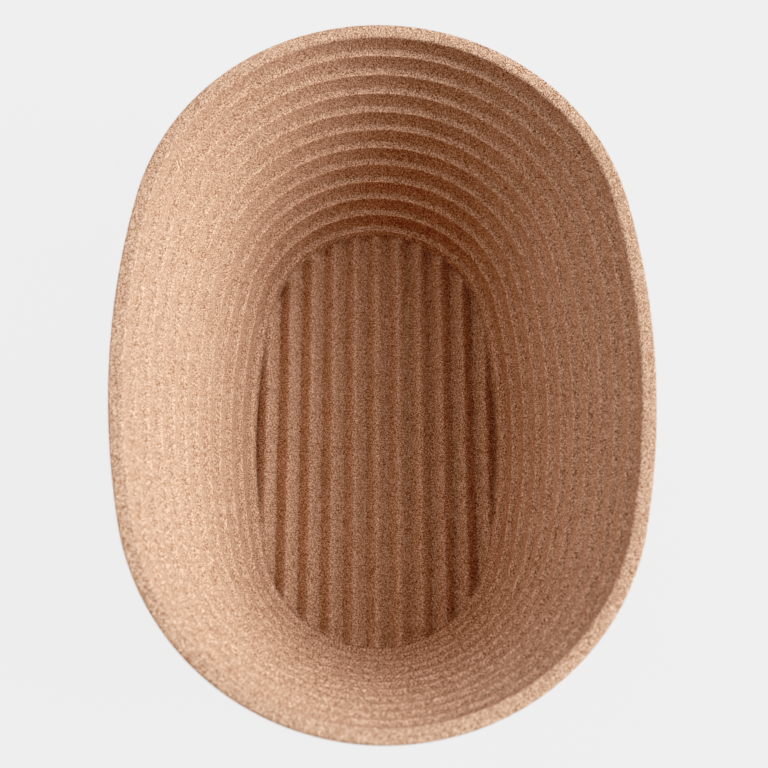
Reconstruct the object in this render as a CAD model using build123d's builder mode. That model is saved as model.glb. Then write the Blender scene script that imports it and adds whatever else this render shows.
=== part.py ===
from build123d import *
import os
from math import atan, atan2, cos, degrees, hypot, radians, sin, tan

os.makedirs("parts", exist_ok=True)

# Oval proofing basket (banneton), one moulded wood-pulp shell.
# Millimetres, +Z up. The origin is the centre of the flat underside; the
# basket is long along Y and narrow along X, and the open rim faces +Z.

# --- dimensions ---
# Every inset is measured inwards from the plan outline, the outside of the rim.

# Plan outline: a four-arc oval, so every inset of it is again a four-arc oval
half_width = 100.0        # along X
half_length = 140.25      # along Y
end_radius = 95.4         # radius of the two rounded ends

# Heights
floor_thickness = 9.0     # underside to the smooth margin of the floor
inner_depth = 90.3        # floor margin to the top of the rim
rim_height = floor_thickness + inner_depth

# Wall
rim_land = 5.8            # width of the flat top of the rim
wall_inset_rim = 5.45     # inset of the ring crests' line at rim level
wall_inset_floor = 49.35  # inset of the ring crests' line at floor level
base_inset = 43.5         # inset of the underside outline
base_edge_radius = 5.0    # rolled edge between wall and underside
rim_band = 2.5            # height of the upright outside face of the rim
rim_band_radius = 4.0     # where that face turns into the sloping wall
rim_outer_radius = 0.7
rim_inner_radius = 1.0

# Both reach past wall_inset_floor; the difference is the overlap of wall and slab
wall_section_reach = 6.0
slab_edge_reach = 3.0

# Stepped rings pressed into the inside of the wall
ring_count = 11
ring_pitch = 8.9          # measured down the slope, crest to crest
ring_face_run = 1.5       # a ring's steep face: how far it comes in ...
ring_face_drop = 7.15     # ... and how far it drops
ring_face_turn = 20.0     # the face is hollow: degrees its arc turns through
ring_ledge_turn = 9.0     # and so, less, is the ledge below it
ring_crest_radius = 0.5
ring_root_radius = 0.6
floor_root_radius = 0.8

# Straight flutes pressed into the floor, lying along Y
flute_inset = 49.3        # the flutes stop at this inset
flute_pitch = 9.2
flute_count = 12
flute_flank = 48.0        # slope of the flanks, degrees from level
flute_crest_radius = 1.4
flute_root_radius = 0.4
flute_sink = 0.25         # ridge tops lie this far below the smooth margin

# The flute cutter
cutter_headroom = 3.0     # top of the fluted block above the floor margin
trim_depth = 6.0          # oval trimming prism: its bottom below the margin ...
trim_height = 8.0         # ... and its height

match_tolerance = 1e-4    # for finding a sketch corner by its coordinates

# --- plan outline ---
end_centre = half_length - end_radius
side_radius = (end_centre**2 + half_width**2 - end_radius**2) / (
    2 * (half_width - end_radius)
)
side_centre = side_radius - half_width
side_half_angle = degrees(atan2(end_centre, side_centre))
side_angle = 2 * side_half_angle
end_angle = 180.0 - side_angle

# centre x, centre y, radius at the rim, start angle, arc angle
outline_arcs = [
    (-side_centre, 0.0, side_radius, -side_half_angle, side_angle),
    (0.0, end_centre, end_radius, side_half_angle, end_angle),
    (side_centre, 0.0, side_radius, 180.0 - side_half_angle, side_angle),
    (0.0, -end_centre, end_radius, 180.0 + side_half_angle, end_angle),
]


def draw_oval(inset):
    """Draw the plan outline, moved inwards by inset, in the open line builder."""
    for centre_x, centre_y, radius, start, size in outline_arcs:
        CenterArc((centre_x, centre_y), radius - inset, start, size)


# --- wall section, as (inset, height) ---
wall_lean = atan((wall_inset_floor - wall_inset_rim) / inner_depth)


def slope_point(k):
    """Point k ring pitches down the line of the ring crests."""
    distance = ring_pitch * k
    return (
        wall_inset_rim + distance * sin(wall_lean),
        rim_height - distance * cos(wall_lean),
    )


def hollow_arc(upper, lower, turn):
    """Start, middle and end of an arc turning through turn degrees, bowed into the wall."""
    run = lower[0] - upper[0]
    rise = lower[1] - upper[1]
    length = hypot(run, rise)
    depth = length / 2 * tan(radians(turn) / 4)
    middle = (
        (upper[0] + lower[0]) / 2 + rise / length * depth,
        (upper[1] + lower[1]) / 2 - run / length * depth,
    )
    return upper, middle, lower


slope_points = [slope_point(k) for k in range(ring_count + 1)]
roots = [(x + ring_face_run, z - ring_face_drop) for x, z in slope_points[:-1]]
rim_inner_edge = (rim_land, rim_height)  # stands in for the first crest
crests = [rim_inner_edge] + slope_points[1:]

ring_arcs = []
for k in range(ring_count):
    ring_arcs.append(hollow_arc(crests[k], roots[k], ring_face_turn))
    ring_arcs.append(hollow_arc(roots[k], crests[k + 1], ring_ledge_turn))

# The last crest drops to the floor at the slope of a ring's steep face
last_x, last_z = crests[-1]
wall_foot = (
    last_x + (last_z - floor_thickness) * ring_face_run / ring_face_drop,
    floor_thickness,
)
section_end = wall_inset_floor + wall_section_reach
base_edge = (base_inset, 0.0)
rim_band_foot = (0.0, rim_height - rim_band)
rim_outer_edge = (0.0, rim_height)

# From the last crest over the floor, down and round the outside to the rim
closing_line = [
    crests[-1],
    wall_foot,
    (section_end, floor_thickness),
    (section_end, 0.0),
    base_edge,
    rim_band_foot,
    rim_outer_edge,
    rim_inner_edge,
]

# corners, fillet radius, in the order they are rounded
wall_fillets = [
    ([rim_outer_edge], rim_outer_radius),
    ([rim_band_foot], rim_band_radius),
    ([base_edge], base_edge_radius),
    ([rim_inner_edge], rim_inner_radius),
    (crests[1:], ring_crest_radius),
    (roots, ring_root_radius),
    ([wall_foot], floor_root_radius),
]


def from_axis(radius, points):
    """Turn (inset, height) points into (distance from the arc's axis, height)."""
    return [(radius - x, z) for x, z in points]


def draw_wall(radius):
    """Draw the wall section for an arc of this rim radius in the open line builder."""
    for arc in ring_arcs:
        ThreePointArc(*from_axis(radius, arc))
    Polyline(from_axis(radius, closing_line))


def corners_at(sketch, points):
    """The sketch's vertices that lie on any of the points."""
    return [
        v
        for v in sketch.vertices()
        if any(
            abs(v.X - x) < match_tolerance and abs(v.Y - z) < match_tolerance
            for x, z in points
        )
    ]


# --- floor flutes ---
def make_flute_cutter():
    """Straight ridges and grooves, trimmed to an oval, to cut from the floor."""
    half_pitch = flute_pitch / 2
    flank = radians(flute_flank)
    # the sharp ridges stand higher by what their fillets take off
    crest_loss = flute_crest_radius * (1 / cos(flank) - 1)
    ridge_z = floor_thickness - flute_sink + crest_loss
    root_z = ridge_z - half_pitch * tan(flank)
    wave_reach = flute_count * half_pitch
    cutter_top = floor_thickness + cutter_headroom
    wave = [
        (-wave_reach + i * half_pitch, ridge_z if i % 2 == 0 else root_z)
        for i in range(2 * flute_count + 1)
    ]
    # the two end points of the wave stay sharp
    ridges = wave[2:-1:2]
    grooves = wave[1::2]

    with BuildPart() as cutter:
        with BuildSketch(Plane.XZ) as flute_section:
            with BuildLine():
                Polyline(
                    wave + [(wave_reach, cutter_top), (-wave_reach, cutter_top)],
                    close=True,
                )
            make_face()
            fillet(corners_at(flute_section, ridges), flute_crest_radius)
            fillet(corners_at(flute_section, grooves), flute_root_radius)
        extrude(amount=half_length, both=True)
        with BuildSketch(Plane.XY.offset(floor_thickness - trim_depth)):
            with BuildLine():
                draw_oval(flute_inset)
            make_face()
        extrude(amount=trim_height, mode=Mode.INTERSECT)
    return cutter.part


# --- basket ---
def make_basket_shell():
    """Wall, rim and floor in one piece."""
    flute_cutter = make_flute_cutter()

    with BuildPart() as shell:
        # wall and rim: the same section turned about each arc's own centre
        for centre_x, centre_y, radius, start, size in outline_arcs:
            angle = radians(start)
            section_plane = Plane(
                origin=(centre_x, centre_y, 0),
                x_dir=(cos(angle), sin(angle), 0),
                z_dir=(sin(angle), -cos(angle), 0),
            )
            with BuildSketch(section_plane) as wall_section:
                with BuildLine():
                    draw_wall(radius)
                make_face()
                for points, fillet_radius in wall_fillets:
                    corners = corners_at(wall_section, from_axis(radius, points))
                    fillet(corners, fillet_radius)
            revolve(axis=Axis((centre_x, centre_y, 0), (0, 0, 1)), revolution_arc=size)

        # floor slab closing the middle
        with BuildSketch(Plane.XY):
            with BuildLine():
                draw_oval(wall_inset_floor + slab_edge_reach)
            make_face()
        extrude(amount=floor_thickness)

        add(flute_cutter, mode=Mode.SUBTRACT)
    return shell.part


basket_shell = make_basket_shell()
basket_shell.label = "basket_shell"
export_step(basket_shell, "parts/basket_shell.step")
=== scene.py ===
"""An oval basket shell moulded in wood pulp.

It stands on its base with Z up, long along Y and centred on the CAD piece. The inside of
the wall is stepped in rings, and the floor has flutes running along Y. Sizes are in
millimetres of the design; MM turns them into metres.
"""
import math

import bmesh
import bpy
import numpy as np
from mathutils import Matrix, Vector
from mathutils.geometry import delaunay_2d_cdt


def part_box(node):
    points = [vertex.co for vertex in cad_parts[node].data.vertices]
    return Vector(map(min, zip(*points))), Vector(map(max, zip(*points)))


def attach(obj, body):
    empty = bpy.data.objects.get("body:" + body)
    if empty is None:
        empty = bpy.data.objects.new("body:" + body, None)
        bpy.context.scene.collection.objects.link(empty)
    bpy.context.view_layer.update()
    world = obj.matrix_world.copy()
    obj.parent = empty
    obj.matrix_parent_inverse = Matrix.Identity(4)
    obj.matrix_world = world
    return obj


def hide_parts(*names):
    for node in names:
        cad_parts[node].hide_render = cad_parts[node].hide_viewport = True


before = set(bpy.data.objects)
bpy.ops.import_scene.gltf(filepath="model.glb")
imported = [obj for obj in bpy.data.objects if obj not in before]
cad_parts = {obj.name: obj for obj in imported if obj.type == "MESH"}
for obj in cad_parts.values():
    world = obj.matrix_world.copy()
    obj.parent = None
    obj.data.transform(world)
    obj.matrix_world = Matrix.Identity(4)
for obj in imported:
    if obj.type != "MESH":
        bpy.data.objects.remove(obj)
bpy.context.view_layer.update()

NODE = "basket_shell"
LO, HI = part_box(NODE)
MM = (HI[0] - LO[0]) / 200.0  # the design is 200 mm wide
ORIGIN = ((LO[0] + HI[0]) / 2, (LO[1] + HI[1]) / 2, LO[2])  # middle of the base

# ---------------------------------------------------------------------------
# sizes in millimetres; an inset is measured inwards from the rim's outline
# ---------------------------------------------------------------------------
HALF_W = (HI[0] - LO[0]) / 2 / MM
HALF_L = (HI[1] - LO[1]) / 2 / MM
FLOOR_T = 9.0
HEIGHT = FLOOR_T + 90.3
RIM_LAND = 5.8  # width of the flat top of the rim
RIM_IN_R, RIM_OUT_R = 1.0, 0.7
BAND, BAND_R = 2.5, 4.0  # upright band outside the rim, and the bend below it
BASE_IN, BASE_R = 43.5, 5.0  # inset of the outside at the base, and its bend

# rings inside the wall: each has a tall face down to a groove, then a ledge to a crest
WALL_START, WALL_END = 5.45, 49.35  # insets of the line of crests at the rim and the floor
RINGS = 11
RING_PITCH = 8.9
FACE_RUN, FACE_DROP = 1.5, 7.15
FACE_TURN, LEDGE_TURN = math.radians(20.0), math.radians(9.0)
CREST_R, ROOT_R, FOOT_R = 0.5, 0.6, 0.8
RUN_INSIDE, RUN_OUTSIDE = 2.0, 2.6  # longest straight run of the section

# flutes of the floor
FLUTE_IN = 49.3  # inset where the flat margin ends
LIP_IN = FLUTE_IN + 0.02
FLUTED_IN = FLUTE_IN + 0.30
FLUTE_PITCH = 9.2
HALF_PITCH = FLUTE_PITCH / 2
FLANK = math.radians(48.0)
RIDGE_R, VALLEY_R = 1.4, 0.4
RIDGE_HALF = RIDGE_R * math.sin(FLANK)  # half widths of the rounded parts
VALLEY_HALF = VALLEY_R * math.sin(FLANK)
SINK = 0.25  # ridges lie this far below the margin

# grid of points over the floor
GRID_HALF_L, GRID_STEP = 92, 1.7
GRID_RIDGES = 6  # ridges on each side of the middle one
GRID_ROOM = 0.55  # clear space kept inside the floor's edge

# the oval: an arc for each end and a flatter one for each side, meeting smoothly
END_R = 95.4
END_C = HALF_L - END_R
SIDE_R = (END_C**2 + HALF_W**2 - END_R**2) / (2 * (HALF_W - END_R))
SIDE_C = SIDE_R - HALF_W
SIDE_A = math.atan2(END_C, SIDE_C)
SIDE_STEPS, END_STEPS = 62, 150


# ---------------------------------------------------------------------------
# section of the wall, as (inset, height)
# ---------------------------------------------------------------------------
def corner_arc(before, corner, after, radius, steps):
    """Points of an arc that rounds the corner."""
    back, ahead = before - corner, after - corner
    back /= np.linalg.norm(back)
    ahead /= np.linalg.norm(ahead)
    half = math.acos(np.clip(back @ ahead, -1, 1)) / 2
    reach = radius / math.tan(half)
    middle = (back + ahead) / np.linalg.norm(back + ahead)
    centre = corner + middle * (radius / math.sin(half))
    first = corner + back * reach - centre
    last = corner + ahead * reach - centre
    angle = math.pi - 2 * half
    points = []
    for j in range(steps + 1):
        s = j / steps
        spoke = math.sin((1 - s) * angle) * first + math.sin(s * angle) * last
        points.append(centre + spoke / math.sin(angle))
    return points


def rounded(corners):
    """The open line through corners (x, z, radius, steps), with bends rounded."""
    places = [np.array(corner[:2]) for corner in corners]
    points = []
    for k, (_, _, radius, steps) in enumerate(corners):
        if radius:
            points += corner_arc(places[k - 1], places[k], places[k + 1], radius, steps)
        else:
            points.append(places[k])
    return points


def longest_run(x, z):
    """Longest run allowed at a point: the outside needs fewer rows than the rings."""
    outside = max(0.0, BASE_IN * (1 - z / (HEIGHT - BAND)))
    on_top = x > 0.05 and z > HEIGHT - 0.01
    return RUN_INSIDE if on_top or x > outside + 2.0 else RUN_OUTSIDE


def subdivided(points):
    """The line with its long straight runs cut up."""
    dense = [points[0]]
    for end in points[1:]:
        start = dense[-1]
        longest = longest_run(*((start + end) / 2))
        count = max(1, math.ceil(np.linalg.norm(end - start) / longest - 1e-6))
        dense += [start + (end - start) * j / count for j in range(1, count + 1)]
    return np.array(dense)


def bowed(start, end, turn, count):
    """Corners strictly between two points, on an arc bowed into the wall."""
    start, end = np.array(start), np.array(end)
    chord = end - start
    length = np.linalg.norm(chord)
    along = chord / length
    side = np.array([-chord[1], chord[0]]) / length  # outwards and down
    radius = length / 2 / math.sin(turn / 2)
    corners = []
    for j in range(1, count):
        angle = turn * (j / count - 0.5)
        bow = side * radius * (math.cos(angle) - math.cos(turn / 2))
        place = (start + end) / 2 + along * radius * math.sin(angle) + bow
        corners.append((*place, 0, 0))
    return corners


LEAN = math.atan((WALL_END - WALL_START) / (HEIGHT - FLOOR_T))
CRESTS = [
    (
        WALL_START + RING_PITCH * k * math.sin(LEAN),
        HEIGHT - RING_PITCH * k * math.cos(LEAN),
    )
    for k in range(RINGS + 1)
]
ROOTS = [(x + FACE_RUN, z - FACE_DROP) for x, z in CRESTS[:-1]]


def wall_section():
    """From the floor's margin up the rings, over the rim, down and in under the base."""
    last_x, last_z = CRESTS[-1]
    foot_x = last_x + (last_z - FLOOR_T) * FACE_RUN / FACE_DROP
    corners = [(FLUTE_IN - 0.12, FLOOR_T, 0, 0), (foot_x, FLOOR_T, FOOT_R, 2)]
    for k in range(RINGS, 0, -1):
        crest, root = CRESTS[k], ROOTS[k - 1]
        top = CRESTS[k - 1] if k > 1 else (RIM_LAND, HEIGHT)
        corners.append((*crest, CREST_R, 3))
        corners += bowed(crest, root, LEDGE_TURN, 2)
        corners.append((*root, ROOT_R, 2))
        corners += bowed(root, top, FACE_TURN, 4)
    corners += [
        (RIM_LAND, HEIGHT, RIM_IN_R, 3),
        (0.0, HEIGHT, RIM_OUT_R, 4),
        (0.0, HEIGHT - BAND, BAND_R, 2),
        (BASE_IN, 0.0, BASE_R, 6),
        (BASE_IN + 12.0, 0.0, 0, 0),
    ]
    return subdivided(rounded(corners))


# ---------------------------------------------------------------------------
# rings round the oval
# ---------------------------------------------------------------------------
def oval_stations():
    """Rows of centre x, centre y, radius at the rim, cosine, sine."""
    side, end = 2 * SIDE_A, math.pi - 2 * SIDE_A
    stations = []
    # centre x, centre y, radius, start angle, size of the arc, steps
    for centre_x, centre_y, radius, first, size, steps in (
        (-SIDE_C, 0.0, SIDE_R, -SIDE_A, side, SIDE_STEPS),
        (0.0, END_C, END_R, SIDE_A, end, END_STEPS),
        (SIDE_C, 0.0, SIDE_R, math.pi - SIDE_A, side, SIDE_STEPS),
        (0.0, -END_C, END_R, math.pi + SIDE_A, end, END_STEPS),
    ):
        for j in range(steps):
            angle = first + size * j / steps
            stations.append((centre_x, centre_y, radius, math.cos(angle), math.sin(angle)))
    return np.array(stations)


STATIONS = oval_stations()
AROUND = len(STATIONS)


def ring(inset, z):
    centre_x, centre_y, rim_radius, cosine, sine = STATIONS.T
    radius = rim_radius - inset
    return np.stack(
        [centre_x + radius * cosine, centre_y + radius * sine, np.full(AROUND, float(z))], 1
    )


def band(first, second):
    """Quads between the rings that start at these two vertices."""
    here = np.arange(AROUND)
    after = (here + 1) % AROUND
    return np.stack(
        [first + here, first + after, second + after, second + here], 1
    ).tolist()


# ---------------------------------------------------------------------------
# fluted floor
# ---------------------------------------------------------------------------
def flute_z(x):
    """Height of the floor at x."""
    off_ridge = np.abs((x + HALF_PITCH) % FLUTE_PITCH - HALF_PITCH)
    off_valley = HALF_PITCH - off_ridge
    lift = RIDGE_R * (1 / math.cos(FLANK) - 1)
    flank = -off_ridge * math.tan(FLANK) + lift
    ridge = np.sqrt(np.maximum(RIDGE_R**2 - off_ridge * off_ridge, 0)) - RIDGE_R
    z = np.where(off_ridge < RIDGE_HALF, ridge, flank)
    bottom = lift - HALF_PITCH * math.tan(FLANK) + VALLEY_R * (1 / math.cos(FLANK) - 1)
    valley = bottom + VALLEY_R - np.sqrt(np.maximum(VALLEY_R**2 - off_valley * off_valley, 0))
    z = np.where(off_valley < VALLEY_HALF, valley, z)
    return FLOOR_T - SINK + z


def floor_grid():
    """Points in staggered columns that follow the flutes, well inside the edge."""
    flank_run = HALF_PITCH - RIDGE_HALF - VALLEY_HALF
    offsets = [
        0,
        RIDGE_HALF * 0.5,
        RIDGE_HALF,
        RIDGE_HALF + 0.33 * flank_run,
        RIDGE_HALF + 0.67 * flank_run,
        HALF_PITCH - VALLEY_HALF,
        HALF_PITCH - VALLEY_HALF * 0.45,
        HALF_PITCH,
    ]
    columns = sorted(
        {
            round(ridge * FLUTE_PITCH + sign * offset, 5)
            for ridge in range(-GRID_RIDGES, GRID_RIDGES + 1)
            for offset in offsets
            for sign in (-1, 1)
        }
    )
    points = []
    for n, x in enumerate(columns):
        stagger = GRID_STEP / 2 if n % 2 else 0.0
        points += [(x, y) for y in np.arange(-GRID_HALF_L, GRID_HALF_L, GRID_STEP) + stagger]
    points = np.array(points)
    x, y = np.abs(points).T
    in_side = SIDE_R - FLUTED_IN - np.hypot(x + SIDE_C, y)
    in_end = END_R - FLUTED_IN - np.hypot(x, y - END_C)
    room = np.where(np.arctan2(y, x + SIDE_C) > SIDE_A, in_end, in_side)
    return points[room > GRID_ROOM]


def fluted_floor(edge, edge_start, start):
    """Vertices (numbered from start) and triangles that fill the ring edge."""
    count = len(edge)
    points = [Vector((float(x), float(y))) for x, y in np.concatenate([edge, floor_grid()])]
    outline = [(i, (i + 1) % count) for i in range(count)]
    result = delaunay_2d_cdt(points, outline, [list(range(count))], 1, 1e-6)
    places, triangles, sources = result[0], result[2], result[3]
    number, fresh = [], []
    for place, source in zip(places, sources):
        on_edge = [i for i in source if i < count]
        if on_edge:
            number.append(edge_start + on_edge[0])
        else:
            number.append(start + len(fresh))
            fresh.append((place.x, place.y))
    fresh = np.array(fresh)
    verts = np.column_stack([fresh, flute_z(fresh[:, 0])])
    return verts, [[number[i] for i in triangle] for triangle in triangles]


# ---------------------------------------------------------------------------
# one closed mesh: floor, ends of the flutes, rings, rim, outside, base
# ---------------------------------------------------------------------------
def shell_geometry(section):
    rings = [ring(x, z) for x, z in section]
    # down from the margin to the fluted floor
    rings.append(ring(LIP_IN, FLOOR_T - 0.6 * SINK))
    edge = ring(FLUTED_IN, 0)
    edge[:, 2] = flute_z(edge[:, 0])
    rings.append(edge)

    rows = len(section)
    starts = [row * AROUND for row in (rows + 1, rows, *range(rows))]
    faces = []
    for first, second in zip(starts[:-1], starts[1:]):
        faces += band(first, second)

    floor_start = len(rings) * AROUND
    floor, triangles = fluted_floor(edge[:, :2], starts[0], floor_start)
    faces += triangles

    # base: rings in towards the middle, then one face
    base = []
    previous, current = starts[-1], floor_start + len(floor)
    for step in (10, 22, 34):
        base.append(ring(section[-1][0] + step, 0.0))
        faces += band(previous, current)
        previous, current = current, current + AROUND
    faces.append(list(range(previous, previous + AROUND)))
    return np.concatenate([*rings, floor, *base]), faces


def near(section, places, width):
    """For each vertex of the wall, how close its row is to one of the places."""
    x, z = section.T
    nearest = np.min([np.hypot(x - px, z - pz) for px, pz in places], axis=0)
    return np.repeat(np.exp(-((nearest / width) ** 2)), AROUND)


def mark(mesh, name, values):
    mesh.attributes.new(name, "FLOAT", "POINT").data.foreach_set("value", values)


def build_shell():
    section = wall_section()
    verts, faces = shell_geometry(section)
    mesh = bpy.data.meshes.new("moulded_shell")
    mesh.from_pydata((verts * MM + np.array(ORIGIN)).tolist(), [], faces)
    mesh.validate()
    mesh.update()
    shell = bpy.data.objects.new("moulded_shell", mesh)
    bpy.context.scene.collection.objects.link(shell)

    bm = bmesh.new()
    bm.from_mesh(mesh)
    bmesh.ops.recalc_face_normals(bm, faces=bm.faces)
    bm.to_mesh(mesh)
    bm.free()
    for polygon in mesh.polygons:
        polygon.use_smooth = True

    # for the material: crests of the rings, which get a painted highlight, and grooves of the
    # wall and the floor, which get painted shade
    wall = len(section) * AROUND
    lips = np.zeros(len(verts))
    # painted highlight along the crests of the rings
    lips[:wall] = near(section, CRESTS[1:], width=0.7)
    mark(mesh, "crest_highlight", lips)
    # painted shade along the valleys of the floor's flutes and the grooves of the rings
    grooves = np.exp(-(((verts[:, 0] % FLUTE_PITCH - HALF_PITCH) / 1.3) ** 2))
    grooves[:wall] = near(section, ROOTS, width=1.15)
    grooves[verts[:, 2] < FLOOR_T / 3] = 0
    mark(mesh, "groove_shade", grooves)
    return shell


# ---------------------------------------------------------------------------
# materials
# ---------------------------------------------------------------------------
def new_material(name):
    material = bpy.data.materials.new(name)
    material.use_nodes = True
    tree = material.node_tree
    return material, tree, tree.nodes["Principled BSDF"]


def wood_pulp():
    """Pressed wood pulp, dry and matt, with a fine fibre grain."""
    material, tree, bsdf = new_material("wood_pulp")
    link = tree.links.new
    coords = tree.nodes.new("ShaderNodeTexCoord")
    # turned so that no flat face lies along the noise's own grid
    turned = tree.nodes.new("ShaderNodeMapping")
    turned.inputs["Rotation"].default_value = (0.7, 0.5, 0.9)
    link(coords.outputs["Object"], turned.inputs["Vector"])

    def maths(kind, *values):
        node = tree.nodes.new("ShaderNodeMath")
        node.operation = kind
        for socket, value in zip(node.inputs, values):
            if isinstance(value, (int, float)):
                socket.default_value = value
            else:
                link(value, socket)
        return node.outputs[0]

    def plus(a, b):
        return maths("ADD", a, b)

    def times(a, b):
        return maths("MULTIPLY", a, b)

    def grain(scale, detail, shift):
        """Noise centred on zero; scale is per metre."""
        node = tree.nodes.new("ShaderNodeTexNoise")
        node.noise_dimensions = "4D"
        node.inputs["W"].default_value = shift
        node.inputs["Scale"].default_value = scale
        node.inputs["Detail"].default_value = detail
        link(turned.outputs[0], node.inputs["Vector"])
        return plus(node.outputs["Fac"], -0.5)

    def attribute(name):
        node = tree.nodes.new("ShaderNodeAttribute")
        node.attribute_name = name
        return node.outputs["Fac"]

    fine = grain(scale=3200, detail=0.0, shift=1.5)
    coarse = grain(scale=1300, detail=0.0, shift=2.5)
    patch = grain(scale=150, detail=2.0, shift=3.5)
    cloud = grain(scale=28, detail=2.0, shift=4.5)

    # each size of grain with its strength; the low start leaves fewer pale grains
    value = 0.3
    for wave, strength in ((fine, 7.6), (coarse, 0.2), (patch, 0.12), (cloud, 0.14)):
        value = plus(value, times(wave, strength))

    # painted highlight on the crests of the rings, painted shade in the grooves of the wall
    # and the floor
    crest_highlight_gain, groove_shade_gain = 0.15, -0.08
    crest_highlight, groove_shade = attribute("crest_highlight"), attribute("groove_shade")
    painted_light = plus(1.0, times(maths("POWER", crest_highlight, 2.0), crest_highlight_gain))
    painted_light = plus(painted_light, times(groove_shade, groove_shade_gain))

    # darker grains are browner, lighter ones paler; the mean colour lies at mean_at
    mean, spread, mean_at = (0.472, 0.297, 0.215), (1.42, 1.66, 1.85), 0.4
    ramp = tree.nodes.new("ShaderNodeValToRGB")
    for element, end in zip(ramp.color_ramp.elements, (0.0, 1.0)):
        channels = (m * (1 + s * (end - mean_at)) for m, s in zip(mean, spread))
        element.color = (*channels, 1)
    link(value, ramp.inputs["Fac"])
    # the grain colour scaled by the painted highlight and the painted shade
    painted_light_colour = tree.nodes.new("ShaderNodeVectorMath")
    painted_light_colour.operation = "SCALE"
    link(ramp.outputs["Color"], painted_light_colour.inputs[0])
    link(painted_light, painted_light_colour.inputs["Scale"])
    link(painted_light_colour.outputs[0], bsdf.inputs["Base Color"])

    base_roughness, grain_roughness = 0.90, 0.25
    link(plus(base_roughness, times(coarse, grain_roughness)), bsdf.inputs["Roughness"])
    bsdf.inputs["Specular IOR Level"].default_value = 0.1

    fine_bump, coarse_bump = 0.22, 0.03
    bump = tree.nodes.new("ShaderNodeBump")
    bump.inputs["Strength"].default_value = 1.0
    bump.inputs["Distance"].default_value = 0.001
    height = plus(times(fine, fine_bump), times(coarse, coarse_bump))
    link(height, bump.inputs["Height"])
    link(bump.outputs["Normal"], bsdf.inputs["Normal"])
    return material


def ground_material():
    """Pale and matt, mostly lit by its own glow."""
    material, _, bsdf = new_material("ground")
    for name, value in {
        "Base Color": (0.04, 0.04, 0.04, 1),
        "Roughness": 1.0,
        "Specular IOR Level": 0.0,
        "Emission Color": (1, 1, 1, 1),
        "Emission Strength": 0.765,
    }.items():
        bsdf.inputs[name].default_value = value
    return material


# ---------------------------------------------------------------------------
# stage: pale floor, soft light mostly from +X, open sky
# ---------------------------------------------------------------------------
LEVEL = 0.86  # keeps every value the tone curve sees below one

# elevation, azimuth from +X towards +Y, angular size (degrees), power
SUNS = (
    (26, 0, 30, 2.94),
    (26, 45, 30, 1.02),
    (48, 0, 28, 0.87),
    (26, 180, 30, 0.60),
    (70, 135, 24, 0.39),
    (26, 315, 30, 0.30),
    (26, 135, 30, 0.18),
    (26, 90, 30, 0.12),
    (70, 180, 24, 0.09),
    (48, 45, 28, 0.03),
)

# value before LEVEL, value shown
TONE = (
    (0.030, 0.003), (0.052, 0.010), (0.075, 0.030),
    (0.111, 0.070), (0.178, 0.150), (0.300, 0.300),
    (0.474, 0.500), (0.699, 0.700), (1.002, 0.900),
)


def build_ground(scene):
    half = 4.0
    z = LO[2] - 0.0002  # just below the base
    corners = [(-half, -half, z), (half, -half, z), (half, half, z), (-half, half, z)]
    mesh = bpy.data.meshes.new("ground")
    mesh.from_pydata(corners, [], [(0, 1, 2, 3)])
    ground = bpy.data.objects.new("ground", mesh)
    scene.collection.objects.link(ground)
    mesh.materials.append(ground_material())


def build_world(scene):
    world = bpy.data.worlds.new("studio")
    world.use_nodes = True
    tree = world.node_tree
    background = tree.nodes["Background"]
    background.inputs["Color"].default_value = (1, 1, 1, 1)
    # beyond the edge of the floor the camera sees the floor's own pale tone
    seen = tree.nodes.new("ShaderNodeLightPath").outputs["Is Camera Ray"]
    mix = tree.nodes.new("ShaderNodeMix")
    mix.inputs["A"].default_value = LEVEL * 0.27
    mix.inputs["B"].default_value = 0.80
    tree.links.new(seen, mix.inputs["Factor"])
    tree.links.new(mix.outputs["Result"], background.inputs["Strength"])
    scene.world = world


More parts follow.
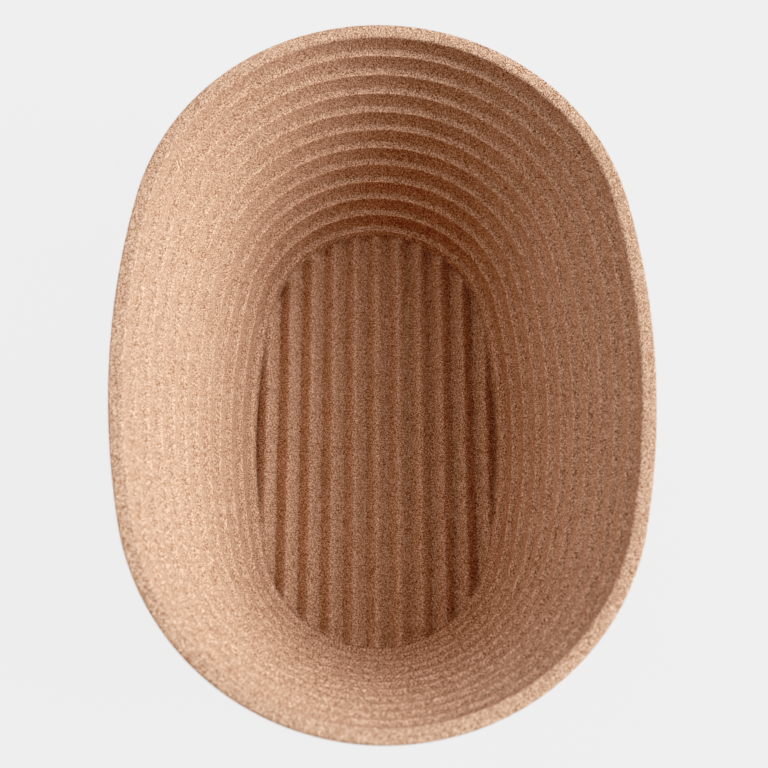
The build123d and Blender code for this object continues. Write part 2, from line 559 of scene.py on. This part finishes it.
def add_sun(scene, elevation, azimuth, spread, power):
    el, az = math.radians(elevation), math.radians(azimuth)
    towards = Vector(
        (math.cos(az) * math.cos(el), math.sin(az) * math.cos(el), math.sin(el))
    )
    lamp = bpy.data.lights.new(f"soft_{elevation}_{azimuth}", "SUN")
    lamp.energy = LEVEL * power
    lamp.angle = math.radians(spread)
    sun = bpy.data.objects.new(lamp.name, lamp)
    sun.rotation_mode = "QUATERNION"
    sun.rotation_quaternion = towards.to_track_quat("Z", "Y")
    sun.location = Vector(ORIGIN) + towards * 1.5
    scene.collection.objects.link(sun)


def set_tone(scene):
    view = scene.view_settings
    view.view_transform = "Standard"
    view.look = "None"
    view.use_curve_mapping = True
    combined = view.curve_mapping.curves[3]
    for value, shown in TONE:
        combined.points.new(value * LEVEL, shown)
    view.curve_mapping.update()


def build_camera(scene):
    """Looks steeply down and towards +Y, focused on the floor of the basket."""
    pitch, yaw, roll = math.radians(69.9), math.radians(5.36), math.radians(5.60)
    distance, aim_x, aim_y = 665.9, 3.08, 21.47  # millimetres
    centre_x, centre_y, base_z = ORIGIN
    floor_z = base_z + FLOOR_T * MM

    forward = Vector(
        (math.sin(yaw) * math.cos(pitch), math.cos(yaw) * math.cos(pitch), -math.sin(pitch))
    )
    level = Vector((math.cos(yaw), -math.sin(yaw), 0.0))
    upright = level.cross(forward)
    right = math.cos(roll) * level + math.sin(roll) * upright
    up = -math.sin(roll) * level + math.cos(roll) * upright

    data = bpy.data.cameras.new("camera")
    data.sensor_width = 36.0
    data.lens = 73.52
    data.clip_start = 0.01
    data.clip_end = 50
    data.dof.use_dof = True
    data.dof.aperture_fstop = 15.0
    camera = bpy.data.objects.new("camera", data)
    scene.collection.objects.link(camera)
    aim = Vector((centre_x + aim_x * MM, centre_y + aim_y * MM, floor_z))
    pose = Matrix((right, up, -forward)).transposed().to_4x4()
    pose.translation = aim - forward * (distance * MM)
    camera.matrix_world = pose

    focus = bpy.data.objects.new("focus", None)
    focus.location = (centre_x, centre_y + 0.02, floor_z)
    scene.collection.objects.link(focus)
    data.dof.focus_object = focus
    scene.camera = camera


shell = build_shell()
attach(shell, "root")
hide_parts(NODE)
shell.data.materials.append(wood_pulp())

scene = bpy.context.scene
build_ground(scene)
build_world(scene)
for sun in SUNS:
    add_sun(scene, *sun)
set_tone(scene)
build_camera(scene)
